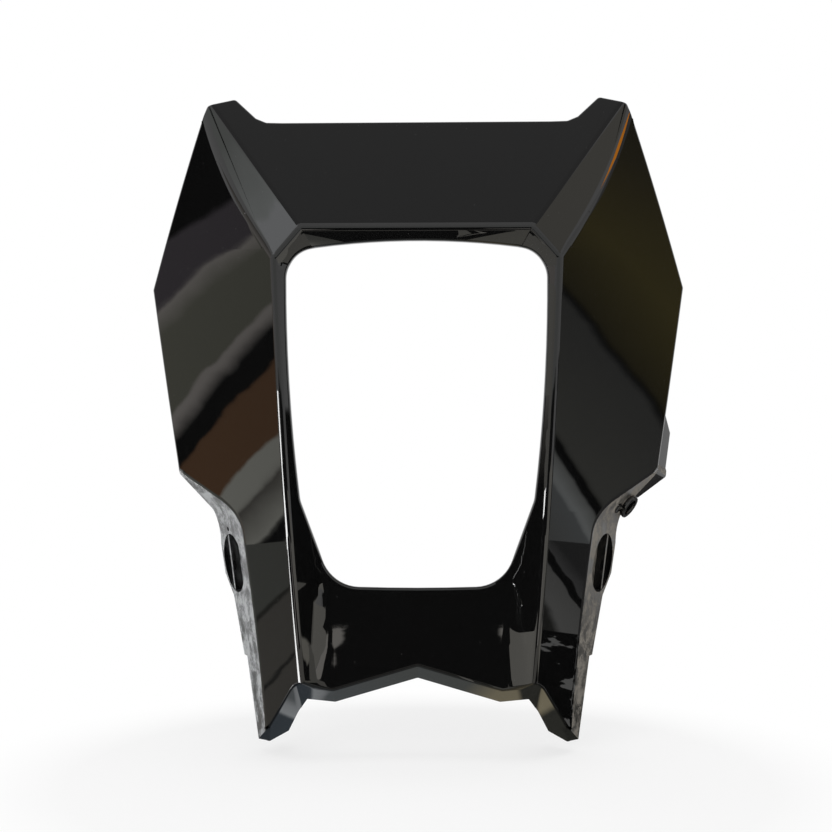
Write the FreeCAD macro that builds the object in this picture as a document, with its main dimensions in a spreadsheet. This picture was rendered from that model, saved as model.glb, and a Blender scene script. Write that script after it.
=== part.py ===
import FreeCAD, Part
import os
import Sketcher
from FreeCAD import Placement, Rotation, Vector

# Headlight cowl of a small motorbike: one moulded shell with a lamp window.
# Frame: millimetres, +Z up, the front faces -Y, symmetric about X = 0 apart from the small cup on the right.
# The origin is the middle of the lamp window, on the plane that the front of the frame stands on.

doc = FreeCAD.newDocument("HeadlightCowl")

# Driving dimensions. Lengths are in millimetres and angles in degrees.
SIZES = {
    # Wall of the moulding
    "wall": 2.5,
    # Wings: swept back from the frame, bowed in the side view about bow_height
    "wing_sweep": 47,
    "wing_root_x": 68.5,
    "bow_height": 85,
    "bow_radius_above": 300,
    "bow_radius_below": 1000,
    "bow_up": 140,
    "bow_down": 340,
    # Upper outline in the front view
    "top_edge_x": 79,
    "top_edge_z": 154.5,
    "rise_x": 84.6,
    "rise_z": 157,
    "horn_inner_x": 96.5,
    "horn_inner_z": 168.8,
    "horn_outer_x": 110.8,
    "horn_outer_z": 164.6,
    "wing_corner_x": 144,
    "wing_corner_z": 69,
    "wing_low_x": 128.6,
    "wing_low_z": -28.4,
    # The leg's side wall and the wall under the wing meet at the leg root
    "leg_root_x": 91,
    "leg_root_y": 33.2,
    "leg_root_z": -49.4,
    "leg_wall_turn": 64.8,
    "leg_wall_lean": -7.5,
    "under_wing_turn": 59.8,
    "under_wing_lean": -32.8,
    # Rounding of the corners whose edges run straight back
    "corner_radius": 2.5,
    "leg_root_radius": 45,
    "crotch_radius": 5,
    # Leg tip
    "tip_x": 77,
    "tip_y": 41,
    "tip_z": -162,
    "tip_turn": 11,
    "tip_lean": -59,
    # Bottom edge: a shallow W between the legs, drawn on the bottom panel
    "bottom_flare": 26,
    "leg_inner_x": 76,
    "leg_inner_z": -150.4,
    "crotch_x": 62,
    "crotch_z": -136.3,
    "low_x": 42.4,
    "low_z": -138.3,
    "apex_z": -125.8,
    # Top panel: a shallow trough that leans back between the horns
    "frame_top_x": 57.2,
    "frame_top_y": 4.5,
    "frame_top_z": 93.4,
    "top_lean": 39,
    "flank_turn": 8.2,
    "flank_lean": 39.8,
    # Corner facets between the top panel and the wings
    "facet_turn": 20.7,
    "facet_lean": 23.9,
    # Rim of the recess around the window, where its walls meet the front plane
    "rim_top_x": 59.2,
    "rim_top_z": 97.9,
    "rim_shoulder_x": 72.4,
    "rim_shoulder_z": 78.3,
    "rim_waist_x": 68.2,
    "rim_waist_z": -60,
    "rim_foot_x": 74.5,
    "rim_foot_z": -180,
    "lip_angle": 45,
    "recess_depth": 20,
    # Lamp window
    "window_crown_z": 87.2,
    "window_corner_x": 64.6,
    "window_corner_z": 82.4,
    "window_waist_x": 62.9,
    "window_waist_z": 12,
    "window_knee_x": 58.2,
    "window_knee_z": -42,
    "window_foot_x": 43.5,
    "window_foot_z": -85.6,
    "window_bottom_z": -86.6,
    "window_corner_radius": 16,
    "window_knee_radius": 15,
    "window_foot_radius": 20,
    # Rear edge of the flanges in the side view, as depth and height
    "horn_back_y": 67,
    "horn_back_z": 170,
    "brow_back_y": 76,
    "brow_back_z": 118,
    "corner_back_y": 92,
    "corner_back_z": 70,
    "wing_low_back_y": 76,
    "wing_low_back_z": -26,
    "under_wing_back_y": 64,
    "under_wing_back_z": -50,
    "ear_top_y": 70,
    "ear_top_z": -68,
    "ear_low_y": 70,
    "ear_low_z": -84,
    "shin_back_y": 61.5,
    "shin_back_z": -95,
    "step_back_y": 58.5,
    "step_back_z": -126,
    # Rear edge of the bottom flange in the plan view, up to a height between the legs
    "bottom_back_x": 57,
    "bottom_back_y": 38.5,
    "crotch_back_x": 61,
    "crotch_back_y": 53,
    "shin_inner_x": 70,
    "shin_inner_y": 72,
    "bottom_back_top": -98,
    # Rear edge of the leg tips in the plan view, below the step
    "heel_inner_x": 66,
    "heel_inner_y": 76,
    "heel_x": 80,
    "heel_y": 57,
    "heel_outer_x": 100,
    "heel_outer_y": 52,
    # Round dish with a screw hole and a rib in each leg's side wall, placed from the leg root
    "dish_radius": 15.5,
    "dish_depth": 5,
    "dish_back": 21.5,
    "dish_down": 28,
    "dish_rib": 2,
    "dish_rib_back": 4,
    "dish_rib_inset": 0.5,
    "screw_hole_radius": 2.75,
    "screw_hole_back": -7,
    "screw_hole_down": 3.5,
    "peg_hole_radius": 1.75,
    "peg_hole_back": 9.5,
    "peg_hole_down": -4,
    # Pin hole above the dish, on the left only
    "pin_hole_radius": 1.2,
    "pin_hole_back": 23.3,
    "pin_hole_down": 10,
    # Small round cup with a hollow beside it, in the wall under the right wing only
    "cup_radius": 4.5,
    "cup_depth": 6,
    "cup_rise": 2.4,
    "cup_wall": 1.8,
    "cup_back": 38,
    "cup_up": 2,
    "hollow_radius": 3,
    "hollow_back": 27,
    "hollow_up": 1,
}

# Reach of the blocks that cut the form, always past the part
REACH = 400
BACK_REACH = 100
BLOCK_DEPTH = 120

# A corner this close to the back of a block lies on it, and an edge this deep is the corner of a flange
CLOSE = 1
RUN = 30

# The numbers that a sketch gives to the two ends of a line and to the centre of an arc
START = 1
END = 2
CENTRE = 3

sheet = doc.addObject("Spreadsheet::Sheet", "Sizes")
for row, (name, number) in enumerate(SIZES.items(), start=1):
    sheet.set("A%d" % row, name)
    sheet.set("B%d" % row, str(number))
    sheet.setAlias("B%d" % row, name)
doc.recompute()


# Sketches: the front view has +X and +Z, the side view has +Y and +Z, the plan view has +X and +Y

FRONT_VIEW = Rotation(Vector(1, 0, 0), 90)
SIDE_VIEW = Rotation(Vector(1, 1, 1), 120)
PLAN_VIEW = Rotation()


def front(name):
    """The cells that place a corner in the front view."""
    return "Sizes.%s_x" % name, "Sizes.%s_z" % name


def side(name):
    """The cells that place a corner in the side view."""
    return "Sizes.%s_y" % name, "Sizes.%s_z" % name


def mirrored(corners):
    """The same corners on the left, in the order that closes the outline."""
    return [("-%s" % x if x[0] != "(" else "-1 * %s" % x, z) for x, z in reversed(corners)]


def number_of(expression):
    return float(sheet.evalExpression(expression))


def pin(sketch, geometry, end, corner):
    """Hold a point of a sketch at the place that two expressions give."""
    for kind, axis, expression in (("DistanceX", -2, corner[0]), ("DistanceY", -1, corner[1])):
        value = number_of(expression)
        if value == 0:
            sketch.addConstraint(Sketcher.Constraint("PointOnObject", geometry, end, axis))
        else:
            index = sketch.addConstraint(Sketcher.Constraint(kind, -1, START, geometry, end, value))
            sketch.setExpression("Constraints[%d]" % index, expression)


def outline(name, view, corners, through=None):
    """A closed outline. A side whose number is in through is an arc that passes through that point."""
    sketch = doc.addObject("Sketcher::SketchObject", name)
    sketch.Placement = Placement(Vector(0, 0, 0), view)
    places = [Vector(number_of(x), number_of(y), 0) for x, y in corners]
    through = through or {}
    ends = []
    for index, start in enumerate(places):
        finish = places[(index + 1) % len(places)]
        if index in through:
            middle = Vector(number_of(through[index][0]), number_of(through[index][1]), 0)
            sketch.addGeometry(Part.Arc(start, middle, finish), False)
            near, far = (sketch.getPoint(index, end) - start for end in (START, END))
            ends.append((START, END) if near.Length < far.Length else (END, START))
        else:
            sketch.addGeometry(Part.LineSegment(start, finish), False)
            ends.append((START, END))
    for index in range(len(places)):
        after = (index + 1) % len(places)
        sketch.addConstraint(Sketcher.Constraint("Coincident", index, ends[index][1], after, ends[after][0]))
    for index, corner in enumerate(corners):
        pin(sketch, index, ends[index][0], corner)
    for index, corner in through.items():
        point = Vector(number_of(corner[0]), number_of(corner[1]), 0)
        dot = sketch.addGeometry(Part.Point(point), True)
        pin(sketch, dot, START, corner)
        sketch.addConstraint(Sketcher.Constraint("PointOnObject", dot, START, index))
    return sketch


# Solids

def extrude(name, base, direction, length, back="0"):
    """A solid swept from a flat outline along a direction, and some way back."""
    solid = doc.addObject("Part::Extrusion", name)
    solid.Base = base
    solid.DirMode = "Custom"
    solid.setExpression("Dir", "vector(%s; %s; %s)" % direction)
    solid.setExpression("LengthFwd", length)
    solid.setExpression("LengthRev", back)
    solid.Solid = True
    return solid


def offset(name, base, distance):
    """A flat outline moved outwards, or inwards where the distance is negative, with sharp corners."""
    moved = doc.addObject("Part::Offset2D", name)
    moved.Source = base
    moved.Join = "Intersection"
    moved.setExpression("Value", distance)
    return moved


def half_space(name, point, turn, lean, inset):
    """A block in front of a plane through the point, which faces the front, turned right and leaned back."""
    block = doc.addObject("Part::Box", name)
    block.Length = block.Width = block.Height = 2 * REACH
    corner = (-REACH, "%s - %d" % (inset, 2 * REACH), -REACH)
    text = "placement(vector(%s; %s; %s); rotationz(%s) * rotationx(-(%s)))" % (*point, turn, lean)
    text += " * placement(vector(%s; %s; %s); rotationz(0))" % corner
    block.setExpression("Placement", text)
    return block


def common(name, solids):
    both = doc.addObject("Part::MultiCommon", name)
    both.Shapes = solids
    return both


def fuse(name, solids):
    joined = doc.addObject("Part::MultiFuse", name)
    joined.Shapes = solids
    return joined


def cut(name, base, tool):
    rest = doc.addObject("Part::Cut", name)
    rest.Base = base
    rest.Tool = tool
    return rest


def mirror(solid):
    """The same solid on the left."""
    left = doc.addObject("Part::Mirroring", solid.Name + "Left")
    left.Source = solid
    left.Normal = Vector(1, 0, 0)
    return left


def rounded(name, base, corners, plain=None):
    """Round the edges that run back from the given corners of the front view, and by a plain radius all that
    reach the back."""
    runs = []
    for index, edge in enumerate(base.Shape.Edges, start=1):
        ahead, behind = sorted((vertex.Point for vertex in edge.Vertexes), key=lambda point: point.y)
        if ahead.y < BLOCK_DEPTH - CLOSE and behind.y > ahead.y + RUN:
            runs.append((index, ahead, behind))
    back = back_of(base) - CLOSE
    radii = {index: number_of(plain) for index, ahead, behind in runs if behind.y > back} if plain else {}
    for corner, radius in corners:
        for sign in (1, -1):
            spot = Vector(sign * number_of(corner[0]), 0, number_of(corner[1]))
            gaps = {run[0]: round(Vector(run[1].x - spot.x, 0, run[1].z - spot.z).Length) for run in runs}
            nearest = min(runs, key=lambda run: (gaps[run[0]], -run[2].y))
            radii[nearest[0]] = number_of(radius)
    smooth = doc.addObject("Part::Fillet", name)
    smooth.Base = base
    smooth.Edges = [(index, radius, radius) for index, radius in radii.items()]
    return smooth


def back_of(solid):
    """The depth of a solid's rearmost corner."""
    return max(vertex.Point.y for vertex in solid.Shape.Vertexes)


def place(thing, **steps):
    """Move an outline or a solid along the axes by expressions."""
    for axis, expression in steps.items():
        thing.setExpression("Placement.Base.%s" % axis, expression)


FORWARD = ("0", "1", "0")
ROOT = ("Sizes.leg_root_x", "Sizes.leg_root_y", "Sizes.leg_root_z")
FRAME_TOP = ("Sizes.frame_top_x", "Sizes.frame_top_y", "Sizes.frame_top_z")
TIP = ("Sizes.tip_x", "Sizes.tip_y", "Sizes.tip_z")

# Upper outline in the front view. Below the wing its side line runs on, past the legs.
BELOW_X = "(3 * Sizes.wing_low_x - 2 * Sizes.wing_corner_x)"
BELOW_Z = "3 * Sizes.wing_low_z - 2 * Sizes.wing_corner_z"
upper_right = [front(name) for name in ("top_edge", "rise", "horn_inner", "horn_outer", "wing_corner", "wing_low")]
upper_right.append((BELOW_X, BELOW_Z))
upper_outline = outline("UpperOutline", FRONT_VIEW, upper_right + mirrored(upper_right))

# Bottom outline: what lies below the W, drawn at the depth of the bottom panel
INNER_X = "(6 * Sizes.leg_inner_x - 5 * Sizes.crotch_x)"
INNER_Z = "6 * Sizes.leg_inner_z - 5 * Sizes.crotch_z"
bottom_right = [front("low"), front("crotch"), (INNER_X, INNER_Z), (INNER_X, "-%d" % REACH)]
bottom_outline = outline("BottomOutline", FRONT_VIEW,
                         [("0", "Sizes.apex_z")] + bottom_right + mirrored(bottom_right))
place(bottom_outline, y="Sizes.recess_depth")

# Rim of the recess, on the front plane and open past the bottom
rim_right = [front("rim_top"), front("rim_shoulder"), front("rim_foot")]
rim_waist = front("rim_waist")
rim_outline = outline("RimOutline", FRONT_VIEW, rim_right + mirrored(rim_right),
                      {1: rim_waist, 3: ("-" + rim_waist[0], rim_waist[1])})

# Wing in the side view: two arcs that meet at the bow height, where the wing is furthest forward
BOW_TOP = "Sizes.bow_height + Sizes.bow_up"
BOW_BOTTOM = "Sizes.bow_height - Sizes.bow_down"
WING_REACH = 150


def wing_profile(name):
    sketch = doc.addObject("Sketcher::SketchObject", name)
    sketch.Placement = Placement(Vector(0, 0, 0), SIDE_VIEW)
    height = number_of("Sizes.bow_height")
    up = number_of(BOW_TOP)
    down = number_of(BOW_BOTTOM)
    above = number_of("Sizes.bow_radius_above")
    below = number_of("Sizes.bow_radius_below")
    apex = Vector(0, height, 0)
    high = Vector(above - (above ** 2 - (up - height) ** 2) ** 0.5, up, 0)
    low = Vector(below - (below ** 2 - (down - height) ** 2) ** 0.5, down, 0)
    high_middle = Vector(above - (above ** 2 - (up - height) ** 2 / 4) ** 0.5, (up + height) / 2, 0)
    low_middle = Vector(below - (below ** 2 - (down - height) ** 2 / 4) ** 0.5, (down + height) / 2, 0)
    sketch.addGeometry(Part.Arc(high, high_middle, apex), False)
    sketch.addGeometry(Part.Arc(apex, low_middle, low), False)
    sketch.addGeometry(Part.LineSegment(low, Vector(-REACH, down, 0)), False)
    sketch.addGeometry(Part.LineSegment(Vector(-REACH, down, 0), Vector(-REACH, up, 0)), False)
    sketch.addGeometry(Part.LineSegment(Vector(-REACH, up, 0), high), False)
    for first, second in ((0, 1), (1, 2), (2, 3), (3, 4), (4, 0)):
        sketch.addConstraint(Sketcher.Constraint("Coincident", first, END, second, START))
    pin(sketch, 0, END, ("0", "Sizes.bow_height"))
    pin(sketch, 0, CENTRE, ("Sizes.bow_radius_above", "Sizes.bow_height"))
    pin(sketch, 1, CENTRE, ("Sizes.bow_radius_below", "Sizes.bow_height"))
    pin(sketch, 2, END, ("-%d" % REACH, BOW_BOTTOM))
    pin(sketch, 3, END, ("-%d" % REACH, BOW_TOP))
    sketch.addConstraint(Sketcher.Constraint("Horizontal", 2))
    sketch.addConstraint(Sketcher.Constraint("Horizontal", 4))
    return sketch


def form(name, inset):
    """The cowl as a full block, or with an inset the space inside its wall, which runs out at the back."""
    cutters = []
    if inset == "0":
        upper = upper_outline
        bottom = bottom_outline
        rim = rim_outline
    else:
        upper = offset(name + "Upper", upper_outline, "-" + inset)
        bottom = offset(name + "Bottom", bottom_outline, "%s / cos(Sizes.bottom_flare)" % inset)
        rim = offset(name + "Rim", rim_outline, "%s / cos(Sizes.lip_angle)" % inset)
    depth = "%d + %s" % (BLOCK_DEPTH, inset)
    block = extrude(name + "Block", upper, FORWARD, depth, "-1 * %s" % inset)

    recess = extrude(name + "Recess", rim, FORWARD, "Sizes.recess_depth + %s" % inset)
    recess.setExpression("TaperAngle", "-Sizes.lip_angle")
    down_and_back = ("0", "cos(Sizes.bottom_flare)", "-sin(Sizes.bottom_flare)")
    bottom_waste = extrude(name + "BottomWaste", bottom, down_and_back, str(REACH), str(BACK_REACH))

    top = half_space(name + "Top", ("0", *FRAME_TOP[1:]), "0", "Sizes.top_lean", inset)
    flank = half_space(name + "Flank", FRAME_TOP, "-Sizes.flank_turn", "Sizes.flank_lean", inset)
    trough = common(name + "Trough", [top, flank, mirror(flank)])

    profile = wing_profile(name + "WingProfile")
    place(profile, x="Sizes.wing_root_x", y="%s / cos(Sizes.wing_sweep)" % inset)
    sweep = ("cos(Sizes.wing_sweep)", "sin(Sizes.wing_sweep)", "0")
    wing = extrude(name + "Wing", profile, sweep, str(WING_REACH), str(WING_REACH))

    facet = half_space(name + "Facet", FRAME_TOP, "Sizes.facet_turn", "Sizes.facet_lean", inset)
    leg_wall = half_space(name + "LegWall", ROOT, "Sizes.leg_wall_turn", "Sizes.leg_wall_lean", inset)
    under_wing = half_space(name + "UnderWing", ROOT, "Sizes.under_wing_turn", "Sizes.under_wing_lean", inset)
    notch = common(name + "Notch", [leg_wall, under_wing])
    tip = half_space(name + "Tip", TIP, "Sizes.tip_turn", "Sizes.tip_lean", inset)

    solid = block
    for tool in (recess, bottom_waste, trough):
        solid = cut("%sLess%s" % (name, tool.Name[len(name):]), solid, tool)
    for tool in (wing, facet, notch, tip):
        for waste in (tool, mirror(tool)):
            solid = cut("%sLess%s" % (name, waste.Name[len(name):]), solid, waste)
    return solid


sharp = form("Outer", "0")
inner = form("Inner", "Sizes.wall")
doc.recompute()
outer = rounded("OuterRounded", sharp, [(front("leg_root"), "Sizes.leg_root_radius"),
                                        (front("crotch"), "Sizes.crotch_radius")], "Sizes.corner_radius")
shell = cut("Shell", outer, inner)

# Lamp window, cut straight through from the front
window_corner = front("window_corner")
window_right = [window_corner, front("window_knee"), front("window_foot")]
window_waist = front("window_waist")
window_outline = outline("WindowOutline", FRONT_VIEW, window_right + mirrored(window_right),
                         {0: window_waist, 2: ("0", "Sizes.window_bottom_z"),
                          4: ("-" + window_waist[0], window_waist[1]), 5: ("0", "Sizes.window_crown_z")})
window_block = extrude("WindowBlock", window_outline, FORWARD, "3 * Sizes.recess_depth", "Sizes.recess_depth")
doc.recompute()


window = rounded("Window", window_block, [(window_corner, "Sizes.window_corner_radius"),
                                          (front("window_knee"), "Sizes.window_knee_radius"),
                                          (front("window_foot"), "Sizes.window_foot_radius")])
open_shell = cut("OpenShell", shell, window)

# Rear edge: the side view trims the flanges, and the plan view opens the space between the legs
rear = [side(name) for name in ("horn_back", "brow_back", "corner_back", "wing_low_back", "under_wing_back",
                                "ear_top", "ear_low", "shin_back", "step_back")]
rear_corners = [(rear[0][0], str(REACH))] + rear + [(str(REACH), "Sizes.step_back_z"), (str(REACH), str(REACH))]
rear_outline = outline("RearOutline", SIDE_VIEW, rear_corners)
rear_waste = extrude("RearWaste", rear_outline, ("1", "0", "0"), str(REACH), str(REACH))

between_right = [("Sizes.bottom_back_x", "Sizes.bottom_back_y"), ("Sizes.crotch_back_x", "Sizes.crotch_back_y"),
                 ("Sizes.shin_inner_x", "Sizes.shin_inner_y"), ("Sizes.shin_inner_x", str(REACH))]
between_outline = outline("BetweenOutline", PLAN_VIEW, between_right + mirrored(between_right))
place(between_outline, z="Sizes.bottom_back_top")
between_waste = extrude("BetweenWaste", between_outline, ("0", "0", "-1"), str(REACH))

# The leg tips end behind a bent line, so that each tip is blunt
heel_right = [("Sizes.%s_x" % name, "Sizes.%s_y" % name) for name in ("heel_inner", "heel", "heel_outer")]
heel_right = [("0", heel_right[0][1])] + heel_right + [(str(REACH), heel_right[-1][1]), (str(REACH), str(REACH)),
                                                       ("0", str(REACH))]
heel_outline = outline("HeelOutline", PLAN_VIEW, heel_right)
place(heel_outline, z="Sizes.step_back_z")
heel_waste = extrude("HeelWaste", heel_outline, ("0", "0", "-1"), str(REACH))

trimmed = open_shell
for waste in (rear_waste, between_waste, heel_waste, mirror(heel_waste)):
    trimmed = cut("Trimmed" + waste.Name, trimmed, waste)


def wall_frame(turn, lean, back, up, depth):
    """A place on a side wall: back and up along it from the leg root, and a depth into it."""
    text = "placement(vector(%s; %s; %s); rotationz(%s) * rotationx(-(%s)))" % (*ROOT, turn, lean)
    return text + " * placement(vector(%s; %s; %s); rotationx(-90))" % (back, depth, up)


def drill(name, wall, radius, back, up, start, length):
    """A round bar that goes into a side wall from a depth that may be negative."""
    bar = doc.addObject("Part::Cylinder", name)
    bar.setExpression("Radius", radius)
    bar.setExpression("Height", length)
    bar.setExpression("Placement", wall_frame(wall[0], wall[1], back, up, start))
    return bar


LEG_WALL = ("Sizes.leg_wall_turn", "Sizes.leg_wall_lean")
UNDER_WING = ("Sizes.under_wing_turn", "Sizes.under_wing_lean")
PAST = 30

# Dishes in the legs: a cup behind the wall, the dish in it, a rib across and two holes in its floor
cup = drill("DishCup", LEG_WALL, "Sizes.dish_radius + Sizes.wall", "Sizes.dish_back", "-Sizes.dish_down",
            "Sizes.wall / 2", "Sizes.dish_depth + Sizes.wall / 2")
dish = drill("Dish", LEG_WALL, "Sizes.dish_radius", "Sizes.dish_back", "-Sizes.dish_down",
             "-%d" % PAST, "Sizes.dish_depth + %d" % PAST)
rib = doc.addObject("Part::Box", "DishRib")
rib.setExpression("Length", "Sizes.dish_rib")
rib.setExpression("Width", "2 * Sizes.dish_radius + Sizes.wall")
rib.setExpression("Height", "Sizes.dish_depth + Sizes.wall / 2 - Sizes.dish_rib_inset")
rib.setExpression("Placement", wall_frame(*LEG_WALL, "Sizes.dish_back + Sizes.dish_rib_back",
                                          "Sizes.dish_radius + Sizes.wall / 2 - Sizes.dish_down",
                                          "Sizes.dish_rib_inset"))
screw_hole = drill("ScrewHole", LEG_WALL, "Sizes.screw_hole_radius", "Sizes.dish_back + Sizes.screw_hole_back",
                   "-Sizes.dish_down - Sizes.screw_hole_down", "0", str(PAST))
peg_hole = drill("PegHole", LEG_WALL, "Sizes.peg_hole_radius", "Sizes.dish_back + Sizes.peg_hole_back",
                 "-Sizes.dish_down - Sizes.peg_hole_down", "0", str(PAST))

# Small cup under the right wing, with a hollow beside it
small_cup = drill("SmallCup", UNDER_WING, "Sizes.cup_radius + Sizes.cup_wall", "Sizes.cup_back", "Sizes.cup_up",
                  "-Sizes.cup_rise", "Sizes.cup_rise + Sizes.cup_depth")
small_bore = drill("SmallCupBore", UNDER_WING, "Sizes.cup_radius", "Sizes.cup_back", "Sizes.cup_up",
                   "-%d" % PAST, "%d + Sizes.cup_depth - Sizes.cup_wall" % PAST)
hollow = drill("Hollow", UNDER_WING, "Sizes.hollow_radius", "Sizes.hollow_back", "Sizes.hollow_up",
               "-%d" % PAST, "2 * %d" % PAST)

# Pin hole above the left dish, drilled on the right and then mirrored
pin_hole = drill("PinHole", LEG_WALL, "Sizes.pin_hole_radius", "Sizes.pin_hole_back", "-Sizes.pin_hole_down",
                 "-%d" % PAST, "2 * %d" % PAST)

cupped = fuse("Cupped", [trimmed, cup, mirror(cup), small_cup])
dished = cut("Dished", cut("DishedRight", cupped, dish), mirror(dish))
ribbed = fuse("Ribbed", [dished, rib, mirror(rib)])
drilled = ribbed
for waste in (screw_hole, mirror(screw_hole), peg_hole, mirror(peg_hole), small_bore, hollow, mirror(pin_hole)):
    drilled = cut("Less" + waste.Name, drilled, waste)
drilled.Label = "headlight_cowl"
doc.recompute()

# Every object has to be whole before anything is written
for thing in doc.Objects:
    if "Invalid" in thing.State or "Error" in thing.State:
        raise RuntimeError("%s is %s" % (thing.Name, thing.State))
if drilled.Shape.isNull() or not drilled.Shape.isValid() or len(drilled.Shape.Solids) != 1:
    raise RuntimeError("%s isn't one valid solid" % drilled.Label)

os.makedirs("parts", exist_ok=True)
drilled.Shape.exportStep("parts/%s.step" % drilled.Label)
solid = drilled.Shape.Solids[0]
print("%s: %d faces, %.0f cubic millimetres" % (drilled.Label, len(solid.Faces), solid.Volume))
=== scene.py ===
# %% [markdown]
# # A headlight cowl in gloss black
# The real object is one injection-moulded shell: a frame around a lamp window, two wings swept back, two
# horns, two legs and a return flange behind the edges. Its face is painted gloss black. The paint thins out
# to a grey, dry speckle on the side flanges, and the inside is bare moulded plastic.
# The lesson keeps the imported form, and adds what a mould and a spray gun add: rounded crests, soft hollows,
# a small tab on the right rim, and three finishes that meet where they meet on the real cowl.

# %% Load the frame
import math

import bmesh
import bpy
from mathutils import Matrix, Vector


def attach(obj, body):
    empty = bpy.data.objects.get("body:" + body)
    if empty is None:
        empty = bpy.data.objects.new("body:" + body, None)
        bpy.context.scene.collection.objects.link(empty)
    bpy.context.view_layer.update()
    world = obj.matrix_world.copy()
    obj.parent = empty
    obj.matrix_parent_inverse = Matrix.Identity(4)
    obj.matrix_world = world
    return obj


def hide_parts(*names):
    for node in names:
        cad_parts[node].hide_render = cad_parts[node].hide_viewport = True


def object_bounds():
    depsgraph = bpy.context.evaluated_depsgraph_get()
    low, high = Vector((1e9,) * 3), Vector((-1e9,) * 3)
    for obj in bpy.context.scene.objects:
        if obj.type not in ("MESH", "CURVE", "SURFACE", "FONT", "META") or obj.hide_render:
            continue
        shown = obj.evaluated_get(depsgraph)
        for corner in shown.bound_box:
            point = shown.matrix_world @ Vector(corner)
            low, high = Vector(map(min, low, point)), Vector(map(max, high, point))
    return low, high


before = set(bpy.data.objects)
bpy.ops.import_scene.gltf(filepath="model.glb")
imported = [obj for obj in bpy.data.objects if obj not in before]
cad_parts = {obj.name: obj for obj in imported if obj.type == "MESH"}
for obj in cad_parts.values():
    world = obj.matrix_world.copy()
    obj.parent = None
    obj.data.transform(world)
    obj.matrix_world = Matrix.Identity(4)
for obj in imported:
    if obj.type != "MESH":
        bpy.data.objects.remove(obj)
CAD_BOX = [list(map(float, corner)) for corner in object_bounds()]
print("CAD box:", CAD_BOX)

MM = 0.001
NODE = "headlight_cowl"

# %% [markdown]
# ## The camera
# The photograph was taken from straight ahead, about 0.75 m away, a little to the right of the middle and
# turned a little to the left. It was cropped off its middle, so the lens has a small sideways shift.

# %% Camera
CAMERA_PLACE = (4.38 * MM, -750 * MM, 0)
CAMERA_TURN = (90, 0.153, 1.221)
LENS = 66.23
SENSOR = 36
CROP_SHIFT = 0.0276

bpy.ops.object.camera_add(location=CAMERA_PLACE, rotation=[math.radians(angle) for angle in CAMERA_TURN])
camera = bpy.context.object
camera.name = "camera"
camera.data.lens = LENS
camera.data.sensor_width = SENSOR
camera.data.shift_x = CROP_SHIFT
bpy.context.scene.camera = camera
print("camera at", tuple(camera.location), "with a lens of", LENS, "mm")

# %% [markdown]
# ## The moulded shell
# A modeller could build the face again by extruding rings out from the window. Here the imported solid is
# already right to the last edge, so its mesh is copied and cleaned instead: the loose triangles are merged,
# and flat fields are dissolved back to whole facets. What it lacks is the softness of a moulding, and a Bevel
# modifier adds that further on, with a width of its own on each kind of edge.

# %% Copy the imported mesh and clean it
MERGE = 0.005 * MM
FLAT = math.radians(0.25)


def deselect():
    bpy.ops.object.select_all(action="DESELECT")


def make_active(thing):
    deselect()
    thing.select_set(True)
    bpy.context.view_layer.objects.active = thing


make_active(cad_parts[NODE])
bpy.ops.object.duplicate()
cowl = bpy.context.object
cowl.name = "cowl_shell"
cowl.parent = None
bpy.ops.object.mode_set(mode="EDIT")
bpy.ops.mesh.select_all(action="SELECT")
bpy.ops.mesh.customdata_custom_splitnormals_clear()
bpy.ops.mesh.remove_doubles(threshold=MERGE)
bpy.ops.mesh.dissolve_limited(angle_limit=FLAT)
bpy.ops.object.mode_set(mode="OBJECT")
print("shell:", len(cowl.data.vertices), "corners,", len(cowl.data.polygons), "facets")

# %% [markdown]
# The wings and the window's lips are bowed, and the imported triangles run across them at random, which would
# show in a mirror finish. Both surfaces are straight along every level line. So each one is dissolved into a
# single field and cut again into level strips, which follow the bow exactly and reflect without ripples. The
# flat floor below the window is cut upright, because a bevel keeps small faces tidier than one large one.

# %% Cut the bowed fields into level strips
STRIP_MM = 6
STRIP = STRIP_MM * MM
FLOOR_CUTS = range(-39, 42, STRIP_MM)
LOW, HIGH = CAD_BOX[0][2], CAD_BOX[1][2]
STEEP = 0.6
SQUARE_ON = -0.999


def field(face):
    """Which field a facet belongs to: the floor, a wing or a lip, outside or inside, or none."""
    if face.normal.y < SQUARE_ON:
        return "floor"
    side = 1 if face.center.x > 0 else -1
    across = face.normal.x * side
    if abs(across) < STEEP or abs(face.normal.y) < STEEP:
        return None
    outside = face.normal.y < 0
    wing = (across > 0) == outside
    return ("wing" if wing else "lip") + ("_outside" if outside else "_inside")


def select_faces(thing, wanted):
    """Select exactly the faces that the test names, in face mode, and stay in edit mode."""
    bpy.ops.object.mode_set(mode="EDIT")
    bpy.ops.mesh.select_mode(type="FACE")
    bpy.ops.mesh.select_all(action="DESELECT")
    bpy.ops.object.mode_set(mode="OBJECT")
    for face in thing.data.polygons:
        face.select = wanted(face)
    bpy.ops.object.mode_set(mode="EDIT")


def cut_faces(thing, wanted, place, normal):
    """Cut the wanted faces along a plane."""
    select_faces(thing, wanted)
    bpy.ops.mesh.bisect(plane_co=place, plane_no=normal)
    bpy.ops.object.mode_set(mode="OBJECT")


def level_strips(thing, name):
    select_faces(thing, lambda face: field(face) == name)
    bpy.ops.mesh.dissolve_faces(use_verts=False)
    bpy.ops.object.mode_set(mode="OBJECT")
    level = math.ceil(LOW / STRIP) * STRIP
    while level < HIGH:
        cut_faces(thing, lambda face: field(face) == name, (0, 0, level), (0, 0, 1))
        level += STRIP


for name in ("wing_outside", "lip_outside", "wing_inside", "lip_inside"):
    level_strips(cowl, name)
    print(name, sum(field(face) == name for face in cowl.data.polygons), "strips")
for cut in FLOOR_CUTS:
    cut_faces(cowl, lambda face: field(face) == "floor", (cut * MM, 0, 0), (1, 0, 0))

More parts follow.
